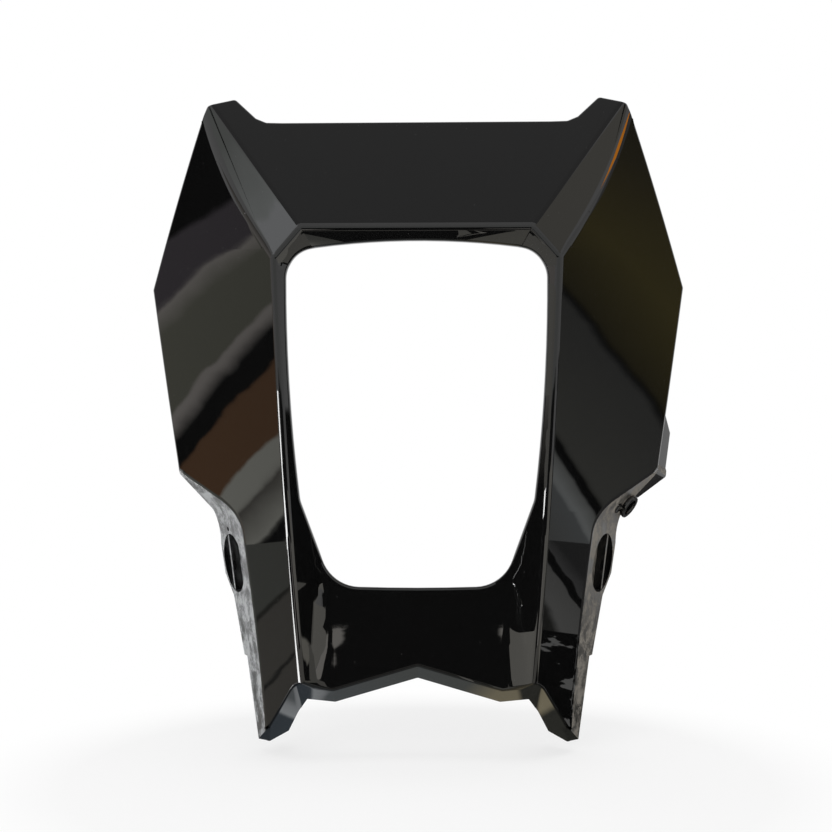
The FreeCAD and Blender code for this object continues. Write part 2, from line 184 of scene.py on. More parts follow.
# %% [markdown]
# Behind the lower corner of the right wing a small tab flares out past the wing's edge, on this side only. It
# could be a separate strip, but a moulding has no seam there. So the rear rim is cut near the tab's upper end
# and pulled out, and both ends of the new rim are then moved back, which gives the tab its slanted ends.

# %% Pull out the right-hand tab
TAB_TOP, TAB_LOW = 2 * MM, -48 * MM
TAB_INNER = 112 * MM
TAB_DEEP = 77 * MM
TAB_RAMP = 9 * MM
TAB_PULL = Vector((6.2, 9, -3)) * MM
# Each end: the share of the pull that it goes back, and the heights that it lies between
TAB_ENDS = [(0.85, -4 * MM, HIGH), (0.6, LOW, -36 * MM)]
REAR = 0.85
SMALL_CUP = Vector((110.1, 66, -48)) * MM
CUP_CLEAR = 12 * MM


def right_rim(face):
    """The rear rim that runs round the right wing."""
    reach = max(cowl.data.vertices[number].co.x for number in face.vertices)
    return face.normal.y > REAR and reach > TAB_INNER


def tab_rim(face):
    """The stretch of that rim that the tab grows from, clear of the small cup."""
    x, y, z = face.center
    on_rim = face.normal.y > REAR and x > TAB_INNER and TAB_LOW < z < TAB_TOP
    return on_rim and (face.center - SMALL_CUP).length > CUP_CLEAR


for level in (TAB_TOP, TAB_TOP - TAB_RAMP):
    cut_faces(cowl, right_rim, (0, 0, level), (0, 0, 1))
select_faces(cowl, tab_rim)
bpy.ops.mesh.extrude_region_move(TRANSFORM_OT_translate={"value": TAB_PULL})
bpy.ops.object.mode_set(mode="OBJECT")
new_rim = {number for face in cowl.data.polygons if face.select for number in face.vertices}
for share, low, high in TAB_ENDS:
    select_faces(cowl, lambda face: False)
    bpy.ops.mesh.select_mode(type="VERT")
    bpy.ops.object.mode_set(mode="OBJECT")
    for number in new_rim:
        corner = cowl.data.vertices[number]
        corner.select = low < corner.co.z < high
    bpy.ops.object.mode_set(mode="EDIT")
    bpy.ops.transform.translate(value=-share * TAB_PULL)
    bpy.ops.object.mode_set(mode="OBJECT")
on_tab = [face for face in cowl.data.polygons if face.center.y > TAB_DEEP and face.center.x > TAB_INNER]
print("tab faces:", len(on_tab))

# %% [markdown]
# Where several fields meet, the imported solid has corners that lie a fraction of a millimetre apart. A bevel
# would fold over itself there, so each group is merged into one corner first.

# %% Merge the crowded corners
CROWDED_MM = (
    (57.1, 4.5, 93.3), (70.3, 2, 77.65),
    (42.4, 20, -138.3), (42.4, 38.5, -147.3),
    (0, 20, -125.8), (0, 38.5, -134.9),
)
CROWDED = [Vector((side * x, y, z)) * MM for side in (1, -1) for x, y, z in CROWDED_MM]
REACH = 1.2 * MM
JOIN = 0.6 * MM

bpy.ops.object.mode_set(mode="EDIT")
bpy.ops.mesh.select_mode(type="VERT")
bpy.ops.mesh.select_all(action="DESELECT")
bpy.ops.object.mode_set(mode="OBJECT")
for vertex in cowl.data.vertices:
    vertex.select = any((vertex.co - corner).length < REACH for corner in CROWDED)
bpy.ops.object.mode_set(mode="EDIT")
bpy.ops.mesh.remove_doubles(threshold=JOIN)
bpy.ops.object.mode_set(mode="OBJECT")
print("corners left:", len(cowl.data.vertices))

# %% [markdown]
# ## The finishes, by place
# The painter sprayed from the front. So every face that looks forward is gloss, with the window's edge and
# the small cup. The flanges that turn away from the gun are dusted grey, with the tab, and what looks backward
# is bare. The slots are filled before the bevel, which then gives its own new faces the gloss finish, so a
# dark line runs along each rim.

# %% Share out the slots
GLOSS, DUSTED, BARE = range(3)
FINISHES = ("gloss_black", "dusted_grey", "bare_black")
FRONT_LOOK = -0.55
BACK_LOOK = 0.05
WINDOW_LOOK = 0.15
WINDOW_EDGE = (67 * MM, -88 * MM, 90 * MM, 26 * MM)
FLANGE_TOP = -28 * MM
CUP_SIZE = 7 * MM


def finish_of(face):
    x, y, z = face.center
    half, low, high, deep = WINDOW_EDGE
    if face.normal.y < FRONT_LOOK or (face.center - SMALL_CUP).length < CUP_SIZE:
        return GLOSS
    if abs(x) < half and low < z < high and y < deep and abs(face.normal.y) < WINDOW_LOOK:
        return GLOSS
    outward = face.normal.x * x + face.normal.z * z > 0
    if face.normal.y < BACK_LOOK and outward:
        side_flange = z < FLANGE_TOP and face.normal.x * x > abs(face.normal.z) * abs(x)
        tab = x > TAB_INNER and y > TAB_DEEP
        return DUSTED if side_flange or tab else GLOSS
    return BARE


for number, name in enumerate(FINISHES):
    material = bpy.data.materials.new(name)
    material.use_nodes = True
    if number < len(cowl.data.materials):
        cowl.data.materials[number] = material
    else:
        cowl.data.materials.append(material)
for face in cowl.data.polygons:
    face.material_index = finish_of(face)
for number, name in enumerate(FINISHES):
    print(name, sum(face.material_index == number for face in cowl.data.polygons), "faces")

# %% [markdown]
# ## Soft edges
# A mould has no sharp corner. The crests round the window are rounded nearly 3 mm wide and the rims half as
# much, while the valleys beside the floor open out to 7 mm at the bottom. Each edge gets a bevel weight by the
# two fields it parts, and one modifier rounds them all at once, so the corners where they meet stay closed.

# %% Round the crests and the rims
VALLEY = 7 * MM
CREST = 2.8 * MM
RIM = 1.3 * MM
VALLEY_STARTS = -82 * MM
VALLEY_FULL = -112 * MM
BEND = math.radians(8)
ROUND_STEPS = 4
# Behind this depth and between these heights lie the dishes and the small cup, which stay crisp
CUP_ZONE = (38 * MM, -103 * MM, -54 * MM)
SLIVER = 0.01 * MM
SMOOTH_BELOW = math.radians(35)
LARGE_FACES_LEAD = 100


def softness(edge):
    """How wide an edge of the front is rounded, as a share of the widest."""
    one, other = edge.link_faces
    middle = (edge.verts[0].co + edge.verts[1].co) / 2
    deep, low, high = CUP_ZONE
    if edge.calc_face_angle() < BEND or (middle.y > deep and low < middle.z < high):
        return 0
    looks = sorted((one.normal.y, other.normal.y))
    if looks[0] > FRONT_LOOK:
        return 0
    if edge.calc_face_angle_signed() < 0:
        grown = (VALLEY_STARTS - middle.z) / (VALLEY_STARTS - VALLEY_FULL)
        return min(max(grown, 0), 1) if looks[0] < SQUARE_ON else 0
    return CREST / VALLEY if looks[1] < FRONT_LOOK else RIM / VALLEY


bm = bmesh.new()
bm.from_mesh(cowl.data)
weight = bm.edges.layers.float.new("bevel_weight_edge")
for edge in bm.edges:
    edge[weight] = softness(edge)
print("edges rounded:", sum(edge[weight] > 0 for edge in bm.edges))
bm.to_mesh(cowl.data)
bm.free()

make_active(cowl)
bevel = cowl.modifiers.new("soft_edges", "BEVEL")
bevel.limit_method = "WEIGHT"
bevel.width = VALLEY
bevel.segments = ROUND_STEPS
bevel.use_clamp_overlap = False
bevel.material = GLOSS
bevel.miter_outer = "MITER_SHARP"
bpy.ops.object.modifier_apply(modifier=bevel.name)
bpy.ops.object.mode_set(mode="EDIT")
bpy.ops.mesh.select_all(action="SELECT")
bpy.ops.mesh.dissolve_degenerate(threshold=SLIVER)
bpy.ops.object.mode_set(mode="OBJECT")
bpy.ops.object.shade_smooth_by_angle(angle=SMOOTH_BELOW)
even = cowl.modifiers.new("even_normals", "WEIGHTED_NORMAL")
even.keep_sharp = True
even.weight = LARGE_FACES_LEAD
bpy.ops.object.modifier_apply(modifier=even.name)
print("shell:", len(cowl.data.vertices), "corners,", len(cowl.data.polygons), "facets")

# %% [markdown]
# ## Materials
# Three finishes share three effects, each a node group: the slow waves and fine peel that any sprayed or
# moulded surface has, the droplets of dry overspray, and a little dust. A picture could hold them, but noise
# on the object's own coordinates needs no unwrapping and keeps its scale in millimetres. First come the small
# helpers that place one node each.

# %% Helpers for nodes
def math_node(tree, operation, first, second):
    """A Math node; each of its two values is a number or a socket."""
    node = tree.nodes.new("ShaderNodeMath")
    node.operation = operation
    for socket, value in zip(node.inputs, (first, second)):
        if isinstance(value, (int, float)):
            socket.default_value = value
        else:
            tree.links.new(value, socket)
    return node.outputs[0]


def noise(tree, place, scale, detail):
    node = tree.nodes.new("ShaderNodeTexNoise")
    node.inputs["Detail"].default_value = detail
    tree.links.new(place, node.inputs["Vector"])
    if isinstance(scale, (int, float)):
        node.inputs["Scale"].default_value = scale
    else:
        tree.links.new(scale, node.inputs["Scale"])
    return node.outputs["Fac"]


def place_of(tree):
    return tree.nodes.new("ShaderNodeTexCoord").outputs["Object"]


def ramp(tree, value, low, high):
    """Zero at the low value, one at the high one, and a soft step between."""
    node = tree.nodes.new("ShaderNodeMapRange")
    node.interpolation_type = "SMOOTHSTEP"
    tree.links.new(value, node.inputs["Value"])
    for label, number in (("From Min", low), ("From Max", high)):
        if isinstance(number, (int, float)):
            node.inputs[label].default_value = number
        else:
            tree.links.new(number, node.inputs[label])
    return node.outputs["Result"]


# %% [markdown]
# Each effect is a group with named values, so one group serves several finishes at different scales. Waves and
# peel are two noises added up as one height. Droplets are a fine noise on a coarse one, cut at the level that
# leaves the wanted cover. Dust is the middles of Voronoi cells.

# %% Effects that the finishes share
SLOW_DETAIL, FINE_DETAIL, PATCH_DETAIL = 1.0, 2.0, 3.0
PATCHES_PER_METRE = 150
PATCH_SHARE, DOT_SHARE = 0.8, 0.4
NO_COVER = 1.1
DROPLET_EDGE = 0.13


def add_group(name, inputs, output):
    """A node group with one output; start holds its values and end takes its result."""
    group = bpy.data.node_groups.new(name, "ShaderNodeTree")
    for label, value in inputs:
        socket = group.interface.new_socket(label, in_out="INPUT", socket_type="NodeSocketFloat")
        socket.default_value = value
    group.interface.new_socket(output, in_out="OUTPUT", socket_type="NodeSocketFloat")
    start = group.nodes.new("NodeGroupInput")
    end = group.nodes.new("NodeGroupOutput")
    return group, start.outputs, end.inputs[output]


WAVE_VALUES = [("Waves per metre", 18), ("Wave height", 2e-5), ("Peel per metre", 500), ("Peel height", 1e-6)]
waves, start, end = add_group("surface_waves", WAVE_VALUES, "Height")
place = place_of(waves)
slow = math_node(waves, "MULTIPLY", noise(waves, place, start["Waves per metre"], SLOW_DETAIL), start["Wave height"])
fine = math_node(waves, "MULTIPLY", noise(waves, place, start["Peel per metre"], FINE_DETAIL), start["Peel height"])
waves.links.new(math_node(waves, "ADD", slow, fine), end)

droplets, start, end = add_group("droplets", [("Droplets per metre", 900), ("Cover", 0.5)], "Mask")
place = place_of(droplets)
patches = math_node(droplets, "MULTIPLY", noise(droplets, place, PATCHES_PER_METRE, PATCH_DETAIL), PATCH_SHARE)
dots = math_node(droplets, "MULTIPLY", noise(droplets, place, start["Droplets per metre"], SLOW_DETAIL), DOT_SHARE)
cut = math_node(droplets, "SUBTRACT", NO_COVER, start["Cover"])
none_below = math_node(droplets, "SUBTRACT", cut, DROPLET_EDGE)
full_above = math_node(droplets, "ADD", cut, DROPLET_EDGE)
droplets.links.new(ramp(droplets, math_node(droplets, "ADD", patches, dots), none_below, full_above), end)

dust, start, end = add_group("dust", [("Specks per metre", 300), ("Size", 0.06)], "Mask")
cells = dust.nodes.new("ShaderNodeTexVoronoi")
dust.links.new(place_of(dust), cells.inputs["Vector"])
dust.links.new(start["Specks per metre"], cells.inputs["Scale"])
dust.links.new(math_node(dust, "LESS_THAN", cells.outputs["Distance"], start["Size"]), end)
print("effects:", waves.name, droplets.name, dust.name)

# %% [markdown]
# A finish is a Principled BSDF with a few effects fed into its sockets. These helpers place an effect with its
# own values, blend two colours or two numbers by its mask, and lead the result to the shader.

# %% Helpers for a finish
def shader_of(material):
    return material.node_tree.nodes["Principled BSDF"]


def effect(material, group, **values):
    node = material.node_tree.nodes.new("ShaderNodeGroup")
    node.node_tree = group
    for label, value in values.items():
        node.inputs[label.replace("_", " ")].default_value = value
    return node.outputs[0]


def blend_colour(material, mask, first, second):
    """The first colour where the mask is zero and the second where it is one; each is a colour or a socket."""
    tree = material.node_tree
    node = tree.nodes.new("ShaderNodeMix")
    node.data_type = "RGBA"
    tree.links.new(mask, node.inputs[0])
    for socket, value in zip(node.inputs[6:8], (first, second)):
        if isinstance(value, bpy.types.NodeSocket):
            tree.links.new(value, socket)
        else:
            socket.default_value = (*value, 1)
    return node.outputs[2]


def blend_value(material, mask, first, second):
    tree = material.node_tree
    node = tree.nodes.new("ShaderNodeMapRange")
    tree.links.new(mask, node.inputs["Value"])
    node.inputs["To Min"].default_value = first
    node.inputs["To Max"].default_value = second
    return node.outputs["Result"]


def bumped(material, height):
    tree = material.node_tree
    node = tree.nodes.new("ShaderNodeBump")
    node.inputs["Strength"].default_value = 1
    node.inputs["Distance"].default_value = 1
    tree.links.new(height, node.inputs["Height"])
    tree.links.new(node.outputs["Normal"], shader_of(material).inputs["Normal"])


def feed(material, label, socket):
    material.node_tree.links.new(socket, shader_of(material).inputs[label])


# %% [markdown]
# The front is sprayed gloss black. Such a paint is nearly black by itself and takes all that the eye sees from
# its reflections, so it stays very dark and very smooth. Long, low waves bend the reflections a little, and
# sparse specks of dust are paler and rougher.

# %% Gloss black paint
PAINT, SPECK = (0.0045, 0.0045, 0.0045), (0.05, 0.05, 0.05)
PAINT_ROUGH, SPECK_ROUGH = 0.02, 0.4
PAINT_IOR = 1.5
gloss = bpy.data.materials["gloss_black"]
specks = effect(gloss, dust, Specks_per_metre=160, Size=0.03)
feed(gloss, "Base Color", blend_colour(gloss, specks, PAINT, SPECK))
feed(gloss, "Roughness", blend_value(gloss, specks, PAINT_ROUGH, SPECK_ROUGH))
shader_of(gloss).inputs["IOR"].default_value = PAINT_IOR
bumped(gloss, effect(gloss, waves, Waves_per_metre=14, Wave_height=3e-5, Peel_per_metre=420, Peel_height=4e-7))
print(gloss.name, "has", len(gloss.node_tree.nodes), "nodes")

# %% [markdown]
# The side flanges caught only dry overspray, a blotchy grey on black. Both colours of the mask are paler and
# cooler on the left flange and darker and warmer on the right, and they change over at the middle of the cowl.

# %% Grey overspray
LEFT_DARK, RIGHT_DARK = (0.05, 0.052, 0.058), (0.04, 0.037, 0.032)
LEFT_LIGHT, RIGHT_LIGHT = (0.36, 0.37, 0.38), (0.22, 0.2, 0.17)
CHANGE_OVER = 10 * MM
WET_ROUGH, DRY_ROUGH = 0.35, 0.75
dusted = bpy.data.materials["dusted_grey"]
spray = effect(dusted, droplets, Droplets_per_metre=760, Cover=0.5)
tree = dusted.node_tree
sides = tree.nodes.new("ShaderNodeSeparateXYZ")
tree.links.new(place_of(tree), sides.inputs[0])
right_side = ramp(tree, sides.outputs["X"], -CHANGE_OVER, CHANGE_OVER)
dark = blend_colour(dusted, right_side, LEFT_DARK, RIGHT_DARK)
light = blend_colour(dusted, right_side, LEFT_LIGHT, RIGHT_LIGHT)
feed(dusted, "Base Color", blend_colour(dusted, spray, dark, light))
feed(dusted, "Roughness", blend_value(dusted, spray, WET_ROUGH, DRY_ROUGH))
bumped(dusted, effect(dusted, waves, Waves_per_metre=140, Wave_height=2e-4, Peel_per_metre=700, Peel_height=8e-5))
print(dusted.name, "has", len(dusted.node_tree.nodes), "nodes")

# %% [markdown]
# The inside is bare black plastic, satin from the mould, with a little overspray that drifted in.

# %% Bare moulded plastic
PLASTIC, DRIFT = (0.014, 0.014, 0.015), (0.06, 0.06, 0.062)
PLASTIC_ROUGH, DRIFT_ROUGH = 0.42, 0.6
bare = bpy.data.materials["bare_black"]
drift = effect(bare, droplets, Droplets_per_metre=700, Cover=0.36)
feed(bare, "Base Color", blend_colour(bare, drift, PLASTIC, DRIFT))
feed(bare, "Roughness", blend_value(bare, drift, PLASTIC_ROUGH, DRIFT_ROUGH))
bumped(bare, effect(bare, waves, Waves_per_metre=40, Wave_height=4e-5, Peel_per_metre=1400, Peel_height=6e-6))
print(bare.name, "has", len(bare.node_tree.nodes), "nodes")

# %% [markdown]
# ## The studio
# A gloss black shape is drawn by what it mirrors. The world is plain white where it is seen or mirrored and
# dimmer where it lights the cowl. The floor is a round sheet of pale paper that fades into that white, and
# keeps the cowl's soft shadow.

# %% World and floor
LEVEL = 0.55
FLOOR_DROP = 4 * MM
FLOOR_RADIUS = 0.6
FLOOR_SIDES = 96
FLOOR_FADES = (0.14, 0.3)
FLOOR_HAZE = 0.72
FLOOR_LEVEL = LOW - FLOOR_DROP
PAPER = (0.9, 0.9, 0.9, 1)
PAPER_ROUGH = 0.9


def seen_directly(tree):
    """One for a camera, glossy or transmission ray, and zero for a diffuse one."""
    path = tree.nodes.new("ShaderNodeLightPath")
    both = math_node(tree, "MAXIMUM", path.outputs["Is Camera Ray"], path.outputs["Is Glossy Ray"])
    return math_node(tree, "MAXIMUM", both, path.outputs["Is Transmission Ray"])


def shade_with(tree, factor, first, second):
    """Mix two shaders by a factor and make the result the surface."""
    mixed = tree.nodes.new("ShaderNodeMixShader")
    for socket, value in zip(mixed.inputs, (factor, first, second)):
        tree.links.new(value, socket)
    tree.links.new(mixed.outputs[0], tree.nodes["Material Output"].inputs["Surface"])


bpy.context.scene.view_settings.view_transform = "Standard"
world = bpy.data.worlds.new("white_room")
bpy.context.scene.world = world
world.use_nodes = True
sky = world.node_tree.nodes["Background"]
sky.inputs["Color"].default_value = (1, 1, 1, 1)
tree = world.node_tree
brightness = math_node(tree, "ADD", math_node(tree, "MULTIPLY", seen_directly(tree), 1 - LEVEL), LEVEL)
tree.links.new(brightness, sky.inputs["Strength"])

deselect()
bpy.ops.mesh.primitive_circle_add(
    vertices=FLOOR_SIDES, radius=FLOOR_RADIUS, fill_type="NGON", location=(0, 0, FLOOR_LEVEL))
floor = bpy.context.object
floor.name = "floor"
bpy.ops.object.transform_apply(location=True, rotation=True, scale=True)
paper = bpy.data.materials.new("floor_paper")
paper.use_nodes = True
floor.data.materials.append(paper)
tree = paper.node_tree
shader_of(paper).inputs["Base Color"].default_value = PAPER
shader_of(paper).inputs["Roughness"].default_value = PAPER_ROUGH
shader_of(paper).inputs["Specular IOR Level"].default_value = 0
length = tree.nodes.new("ShaderNodeVectorMath")
length.operation = "LENGTH"
tree.links.new(place_of(tree), length.inputs[0])
fade = math_node(tree, "MAXIMUM", ramp(tree, length.outputs["Value"], *FLOOR_FADES), FLOOR_HAZE)
far = math_node(tree, "MULTIPLY", fade, seen_directly(tree))
glow = tree.nodes.new("ShaderNodeEmission")
shade_with(tree, far, shader_of(paper).outputs[0], glow.outputs[0])
print("floor at", FLOOR_LEVEL)

# %% [markdown]
# Cards stand round the cowl where the room had something darker or brighter, as a photographer sets them.
# Only reflections see them, so they neither light the cowl nor show in the picture. A plain card has one
# colour. A banded card's colour runs along a direction through a colour ramp, and a little noise makes the
# edges of its bands ragged. A one-way card is a screen: it hides from the right half of the cowl what lies
# left of it, and the left half looks through it.

# %% Kinds of card
BRIGHTEST = 2.5
SCREEN_AT = 20 * MM
GRAIN_DETAIL = 5.0


def card(name, centre, size, aim=None, spin=0):
    """A card that faces the cowl, or lies along its aim, and that only reflections see."""
    deselect()
    turn = Vector(aim or centre).to_track_quat("Z", "Y").to_euler()
    turn.z += math.radians(spin)
    bpy.ops.mesh.primitive_plane_add(size=1, location=centre, rotation=turn)
    sheet = bpy.context.object
    sheet.name = "card_" + name
    sheet.scale = (size[0], size[1], 1)
    bpy.ops.object.transform_apply(location=True, rotation=True, scale=True)
    material = bpy.data.materials.new("card_" + name)
    material.use_nodes = True
    nodes = material.node_tree.nodes
    nodes.remove(nodes["Principled BSDF"])
    light = nodes.new("ShaderNodeEmission")
    material.node_tree.links.new(light.outputs[0], nodes["Material Output"].inputs["Surface"])
    sheet.data.materials.append(material)
    sheet.visible_camera = False
    sheet.visible_diffuse = False
    sheet.visible_shadow = False
    return material, light


def plain_card(name, centre, size, colour, strength, aim=None, spin=0):
    """A card of one colour."""
    material, light = card(name, centre, size, aim, spin)
    light.inputs["Color"].default_value = (*colour, 1)
    light.inputs["Strength"].default_value = strength
    return material, light


def banded_card(name, centre, size, along, ragged, stops, aim=None, grain=16):
    """Bands along a direction, in millimetres; each stop is a place on the way and a colour."""
    material, light = card(name, centre, size, aim)
    tree = material.node_tree
    place = place_of(tree)
    way = tree.nodes.new("ShaderNodeVectorMath")
    way.operation = "DOT_PRODUCT"
    way.inputs[1].default_value = along
    tree.links.new(place, way.inputs[0])
    wander = math_node(tree, "SUBTRACT", noise(tree, place, grain, GRAIN_DETAIL), 0.5)
    height = math_node(tree, "ADD", way.outputs["Value"], math_node(tree, "MULTIPLY", wander, ragged * MM))
    low, high = stops[0][0], stops[-1][0]
    span = tree.nodes.new("ShaderNodeMapRange")
    tree.links.new(height, span.inputs["Value"])
    span.inputs["From Min"].default_value = low * MM
    span.inputs["From Max"].default_value = high * MM
    bands = tree.nodes.new("ShaderNodeValToRGB")
    tree.links.new(span.outputs["Result"], bands.inputs[0])
    while len(bands.color_ramp.elements) < len(stops):
        bands.color_ramp.elements.new(0.5)
    for element, (at, colour) in zip(bands.color_ramp.elements, stops):
        element.position = (at - low) / (high - low)
        element.color = (*[part / BRIGHTEST for part in colour], 1)
    tree.links.new(bands.outputs["Color"], light.inputs["Color"])
    light.inputs["Strength"].default_value = BRIGHTEST


def one_way_card(name, y, z, colour, strength):
    """A screen beside the middle plane, between two depths and two heights; its back is clear."""
    centre = (SCREEN_AT, (y[0] + y[1]) / 2, (z[0] + z[1]) / 2)
    material, light = plain_card(name, centre, (y[1] - y[0], z[1] - z[0]), colour, strength, (1, 0, 0))
    tree = material.node_tree
    back = tree.nodes.new("ShaderNodeNewGeometry").outputs["Backfacing"]
    clear = tree.nodes.new("ShaderNodeBsdfTransparent")
    shade_with(tree, back, light.outputs[0], clear.outputs[0])


# %% [markdown]
# ### The walls beside the cowl
# The left wing mirrors slanting bands: from the horn down black, slate, a pale edge, olive, then a pale strip,
# a dark one, a brown one and stone. The right wing mirrors a dim olive wall with a dark line under it. Smaller
# cards beside them hold what the horns and the window's lips mirror.

# %% Wall cards
BLACK = (0, 0, 0)
WHITE = (1, 1, 1)
SLATE = (0.25, 0.22, 0.25)
OLIVE = (0.45, 0.45, 0.36)
PALE = (1.0, 0.93, 0.87)
BROWN = (0.46, 0.24, 0.12)
STONE = (1.25, 1.25, 1.12)
SHADE = (0.37, 0.35, 0.31)
SEAM = (0.16, 0.16, 0.15)
DIM_OLIVE = (0.27, 0.22, 0.07)
DUSK = (0.3, 0.3, 0.27)
ORANGE = (1, 0.33, 0.02)
SIDE_AT = 600 * MM
BEFORE = 5 * MM
LEFTWARD, RIGHTWARD, UP = (-1, 0, 0), (1, 0, 0), (0, 0, 1)

LEFT_BANDS = [
    (-420, SHADE), (-130, SHADE), (-126, SEAM), (-118, SHADE), (-62, SHADE), (-58, BLACK), (-34, BLACK),
    (-30, STONE), (8, SHADE), (14, STONE), (46, STONE), (49, BROWN), (116, BROWN), (119, BLACK), (148, BLACK),
    (166, PALE), (174, PALE), (177, OLIVE), (255, OLIVE), (284, PALE), (287, SLATE), (360, SLATE),
    (372, BLACK), (900, BLACK),
]
banded_card("left", (-SIDE_AT, 150 * MM, 40 * MM), (0.25, 1.1), (0, 1.08, 1), 40, LEFT_BANDS, LEFTWARD)
RIGHT_BANDS = [
    (-420, SHADE), (-130, SHADE), (14, (0.5, 0.53, 0.54)), (20, (1.05, 1.1, 1.1)), (44, (0.6, 0.62, 0.6)),
    (48, BLACK), (60, BLACK), (66, DUSK), (205, (0.2, 0.2, 0.19)), (216, BLACK), (226, (0.12, 0.1, 0.04)),
    (330, DIM_OLIVE), (520, (0.12, 0.1, 0.05)), (900, BLACK),
]
banded_card("right", (SIDE_AT, 150 * MM, 40 * MM), (0.25, 1.1), (0, 1.4, 1), 20, RIGHT_BANDS, RIGHTWARD)
plain_card("horn_left", (-SIDE_AT + BEFORE, 0.065, 0.42), (0.09, 0.36), WHITE, 1, LEFTWARD)
plain_card("horn_right", (SIDE_AT - BEFORE, 0.065, 0.42), (0.09, 0.36), WHITE, 0.3, RIGHTWARD)
plain_card("orange", (0.72, -0.01, 0.55), (0.12, 0.14), ORANGE, 5.4)
LIP_LEFT = [(-400, BLACK), (-60, BLACK), (0, SHADE), (60, PALE), (260, PALE), (400, SHADE)]
LIP_RIGHT = [(-400, BLACK), (20, BLACK), (30, (1.1, 1.1, 1.1)), (300, (0.8, 0.8, 0.8))]
banded_card("lip_left", (-SIDE_AT, -60 * MM, 0), (0.16, 0.8), UP, 14, LIP_LEFT, LEFTWARD)
banded_card("lip_right", (SIDE_AT, -60 * MM, 0), (0.16, 0.8), UP, 14, LIP_RIGHT, RIGHTWARD)

# %% [markdown]
# ### In front of the cowl and above it
# The front card is what the flat face of the frame mirrors. The one above shades the top panel, and the two
# high ones at the sides light the corner facets, the left one more. The low ones at the sides draw the bright
# line along the left crest and the dim one along the right.

# %% Front and top cards
GLARE = 22
FACE_GREY = (0.85, 0.87, 0.85)
FRONT_BANDS = [(-800, BLACK), (-20, BLACK), (30, FACE_GREY), (800, FACE_GREY)]
banded_card("front", (0, -1.5, 0), (1.8, 1.6), UP, 0, FRONT_BANDS)
plain_card("top", (0, 0.2, 1.4), (1.6, 1.6), WHITE, 0.3)
FACET_LOW, FACET_MID, FACET_HIGH = (2.1, 2.15, 2.2), (1.7, 1.78, 1.75), (1, 1.05, 1)
FACET_BANDS = [(-1100, FACET_LOW), (-452, FACET_LOW), (-445, FACET_MID), (-340, FACET_HIGH), (-100, FACET_HIGH)]
banded_card("facet_left", (-0.9, -0.7, 1.1), (0.8, 0.8), (0, 1, 0), 50, FACET_BANDS)
plain_card("crest_left", (-0.95, -0.5, -0.11), (0.45, 0.14), WHITE, GLARE)
plain_card("crest_right", (0.9, -0.5, -0.11), (0.8, 0.14), WHITE, 1.2)
plain_card("facet_right", (0.9, -0.7, 1.1), (0.8, 0.8), (1, 0.96, 0.85), 0.75)

# %% [markdown]
# ### On the table
# All that leans forward mirrors the table: the bottom panel, the legs, the flange under them, the valleys and
# the window's lips. These cards lie flat just above the floor. Where two overlap, they lie a fraction of a
# millimetre apart, so it is always clear which is on top.

# %% Table cards
TABLE = FLOOR_LEVEL + 1 * MM
LAYER = 0.5 * MM
SECOND, THIRD, FOURTH = TABLE - LAYER / 4, TABLE - LAYER * 0.4, TABLE - LAYER / 2
LOWEST = TABLE - LAYER
WARM = (1, 0.97, 0.88)
PATCH = (2.2, 2.1, 1.95)
SEAT = (0.5, 0.44, 0.3)
DEEP = (0.1, 0.12, 0.14)
DIM, DIMMER, DIMMEST = (0.12, 0.12, 0.1), (0.1, 0.1, 0.09), (0.07, 0.07, 0.06)
LEG_GREY, BLOB_GREY, ASH = (0.36, 0.37, 0.33), (0.8, 0.8, 0.78), (0.12, 0.12, 0.12)
PATCHES = [(-150, PATCH), (-63, PATCH), (-60, BLACK), (61, BLACK), (64, PATCH), (150, PATCH)]
FLANGE_BANDS = [
    (-120, DEEP), (-61, DEEP), (-59, (0.6, 0.63, 0.65)), (-54, (0.5, 0.52, 0.54)), (-50, (0.22, 0.24, 0.25)),
    (20, (0.2, 0.21, 0.2)), (36, SEAT), (54, SEAT), (58, DIMMEST), (120, DIMMEST),
]
LEFT_LEG = [
    (0, SHADE), (92, SHADE), (94, DIMMER), (96, DIMMER), (98, SHADE), (151, SHADE), (154, DIM), (157, DIM),
    (160, LEG_GREY), (400, LEG_GREY),
]
RIGHT_LEG = [
    (60, BLACK), (138, DIMMER), (150, (0.62, 0.62, 0.6)), (196, (0.5, 0.5, 0.48)), (198, BLACK), (212, BLACK),
    (214, (0.3, 0.3, 0.3)), (240, ASH), (400, ASH),
]
BLOBS = [(-40, BLACK), (15, BLACK), (17, BLOB_GREY), (40, BLOB_GREY)]
plain_card("table", (0, -0.72, TABLE), (0.5, 0.5), WHITE, 0, UP)
banded_card("table_near", (0, -0.31, TABLE), (0.23, 0.36), RIGHTWARD, 18, PATCHES, UP)
banded_card("table_back", (0, 0.12, TABLE), (0.19, 0.24), RIGHTWARD, 6, FLANGE_BANDS, UP)
banded_card("table_left", (-0.42, 0.2, FOURTH), (0.72, 0.34), (-0.21, 1, 0), 16, LEFT_LEG, UP)
banded_card("table_right", (0.42, 0.2, FOURTH), (0.72, 0.34), (0.1, 1.8, 0), 20, RIGHT_LEG, UP)
banded_card("blobs", (0.19, 0.12, TABLE), (0.18, 0.2), (0, 0, 0), 180, BLOBS, UP, 55)

# %% [markdown]
# The window's lips sweep over a wide stretch of the table in a few millimetres. A strip close to the cowl
# holds their greys, two small cards part the top lip into its dark and its grey length, and two long bright
# strips run out to the left, which draw the line down the left crest.

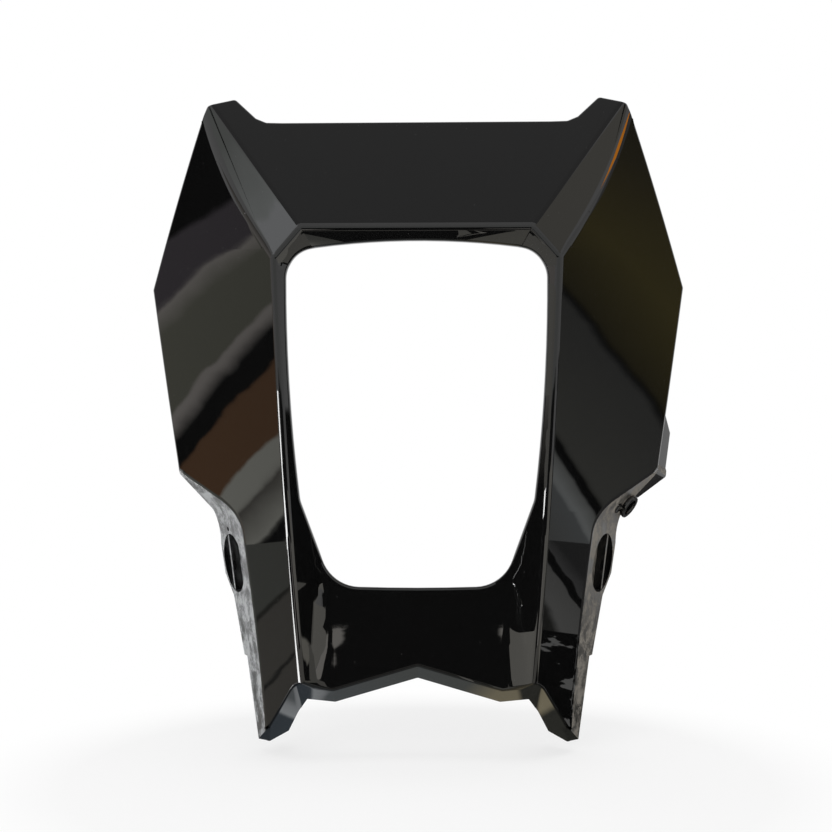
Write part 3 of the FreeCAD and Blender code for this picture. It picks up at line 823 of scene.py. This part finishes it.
# %% Table cards for the lips and the crest
LIP_GREY = 0.9
LIP_PATCH, LIP_MIDDLE = (2.1, 2.05, 1.9), (0.6, 0.6, 0.55)
LIP_TABLE = [
    (-1000, BLACK), (-306, BLACK), (-300, LIP_PATCH), (-75, LIP_PATCH), (-60, LIP_MIDDLE), (60, LIP_MIDDLE),
    (75, BLACK), (168, BLACK), (174, (1.5, 1.43, 1.25)), (262, (1.4, 1.35, 1.2)), (268, BLACK), (1000, BLACK),
]
CREST_SPIN = 27.6
plain_card("table_mid", (0, -0.0975, FOURTH), (1.2, 0.065), WARM, LIP_GREY, UP)
plain_card("corner_lips", (-SIDE_AT + BEFORE, -0.105, -0.08), (0.05, 0.16), WARM, LIP_GREY, LEFTWARD)
plain_card("top_lip", (0.056, -0.04, TABLE), (0.048, 0.06), (1, 0.97, 0.85), LIP_GREY, UP)
plain_card("top_lip_dark", (-0.009, -0.04, TABLE), (0.082, 0.06), WHITE, 0.02, UP)
banded_card("table_lips", (0, -0.0275, THIRD), (2, 0.075), RIGHTWARD, 40, LIP_TABLE, UP)
plain_card("table_dark", (-0.66, -0.5, LOWEST), (1.08, 0.9), WHITE, 0, UP)
plain_card("gleam_near", (-0.27, -0.098, SECOND), (0.38, 0.08), WHITE, GLARE, UP, CREST_SPIN)
plain_card("gleam_far", (-0.82, -0.42, SECOND), (0.9, 0.34), WHITE, GLARE, UP, CREST_SPIN)
plain_card("glow_right", (0.66, -0.48, LOWEST), (1.08, 1), WARM, 1.45, UP)

# %% [markdown]
# The right half of the cowl has no such bright line, but it would mirror the same strips. So one-way screens
# stand between it and them: black ones for the lower lip and the floor beside it, and grey ones for the patch
# in the right valley and for the upper corner of the window's lip.

# %% Screens
SCREEN_FRONT = -0.3
LIP_ENDS = 0.0115
VALLEY_TOP = -0.1145
VALLEY_FRONT = -0.045
one_way_card("screen_low", (SCREEN_FRONT, LIP_ENDS), (VALLEY_TOP, -0.055), WHITE, 0)
one_way_card("screen_floor", (SCREEN_FRONT, VALLEY_FRONT), (TABLE, VALLEY_TOP), WHITE, 0)
one_way_card("screen_valley", (VALLEY_FRONT, LIP_ENDS), (TABLE, VALLEY_TOP), WARM, 1.5)
one_way_card("screen_high", (-0.06, 0.014), (0.012, 0.072), WARM, 0.95)
one_way_card("screen_mid", (-0.06, -0.004), (-0.04, 0.012), WARM, 0.95)


# %% [markdown]
# Two large, soft lamps light the dusted flanges and the bare inside, one above and one in front to the left.
# A gloss surface would mirror them as discs, so reflections don't see them.

# %% Lamps
LAMP_WATTS = 9


def lamp(name, place, size):
    deselect()
    turn = Vector(place).to_track_quat("Z", "Y").to_euler()
    bpy.ops.object.light_add(type="AREA", location=place, rotation=turn)
    light = bpy.context.object
    light.name = name
    light.data.shape = "DISK"
    light.data.size = size
    light.data.energy = LAMP_WATTS
    light.visible_glossy = False


lamp("lamp_over", (0.2, -0.3, 1.6), 1.2)
lamp("lamp_front", (-0.9, -1.5, 0.6), 1.0)
print("lamps:", len(bpy.data.lights))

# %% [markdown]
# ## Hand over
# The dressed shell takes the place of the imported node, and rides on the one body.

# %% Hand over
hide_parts(NODE)
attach(cowl, "root")
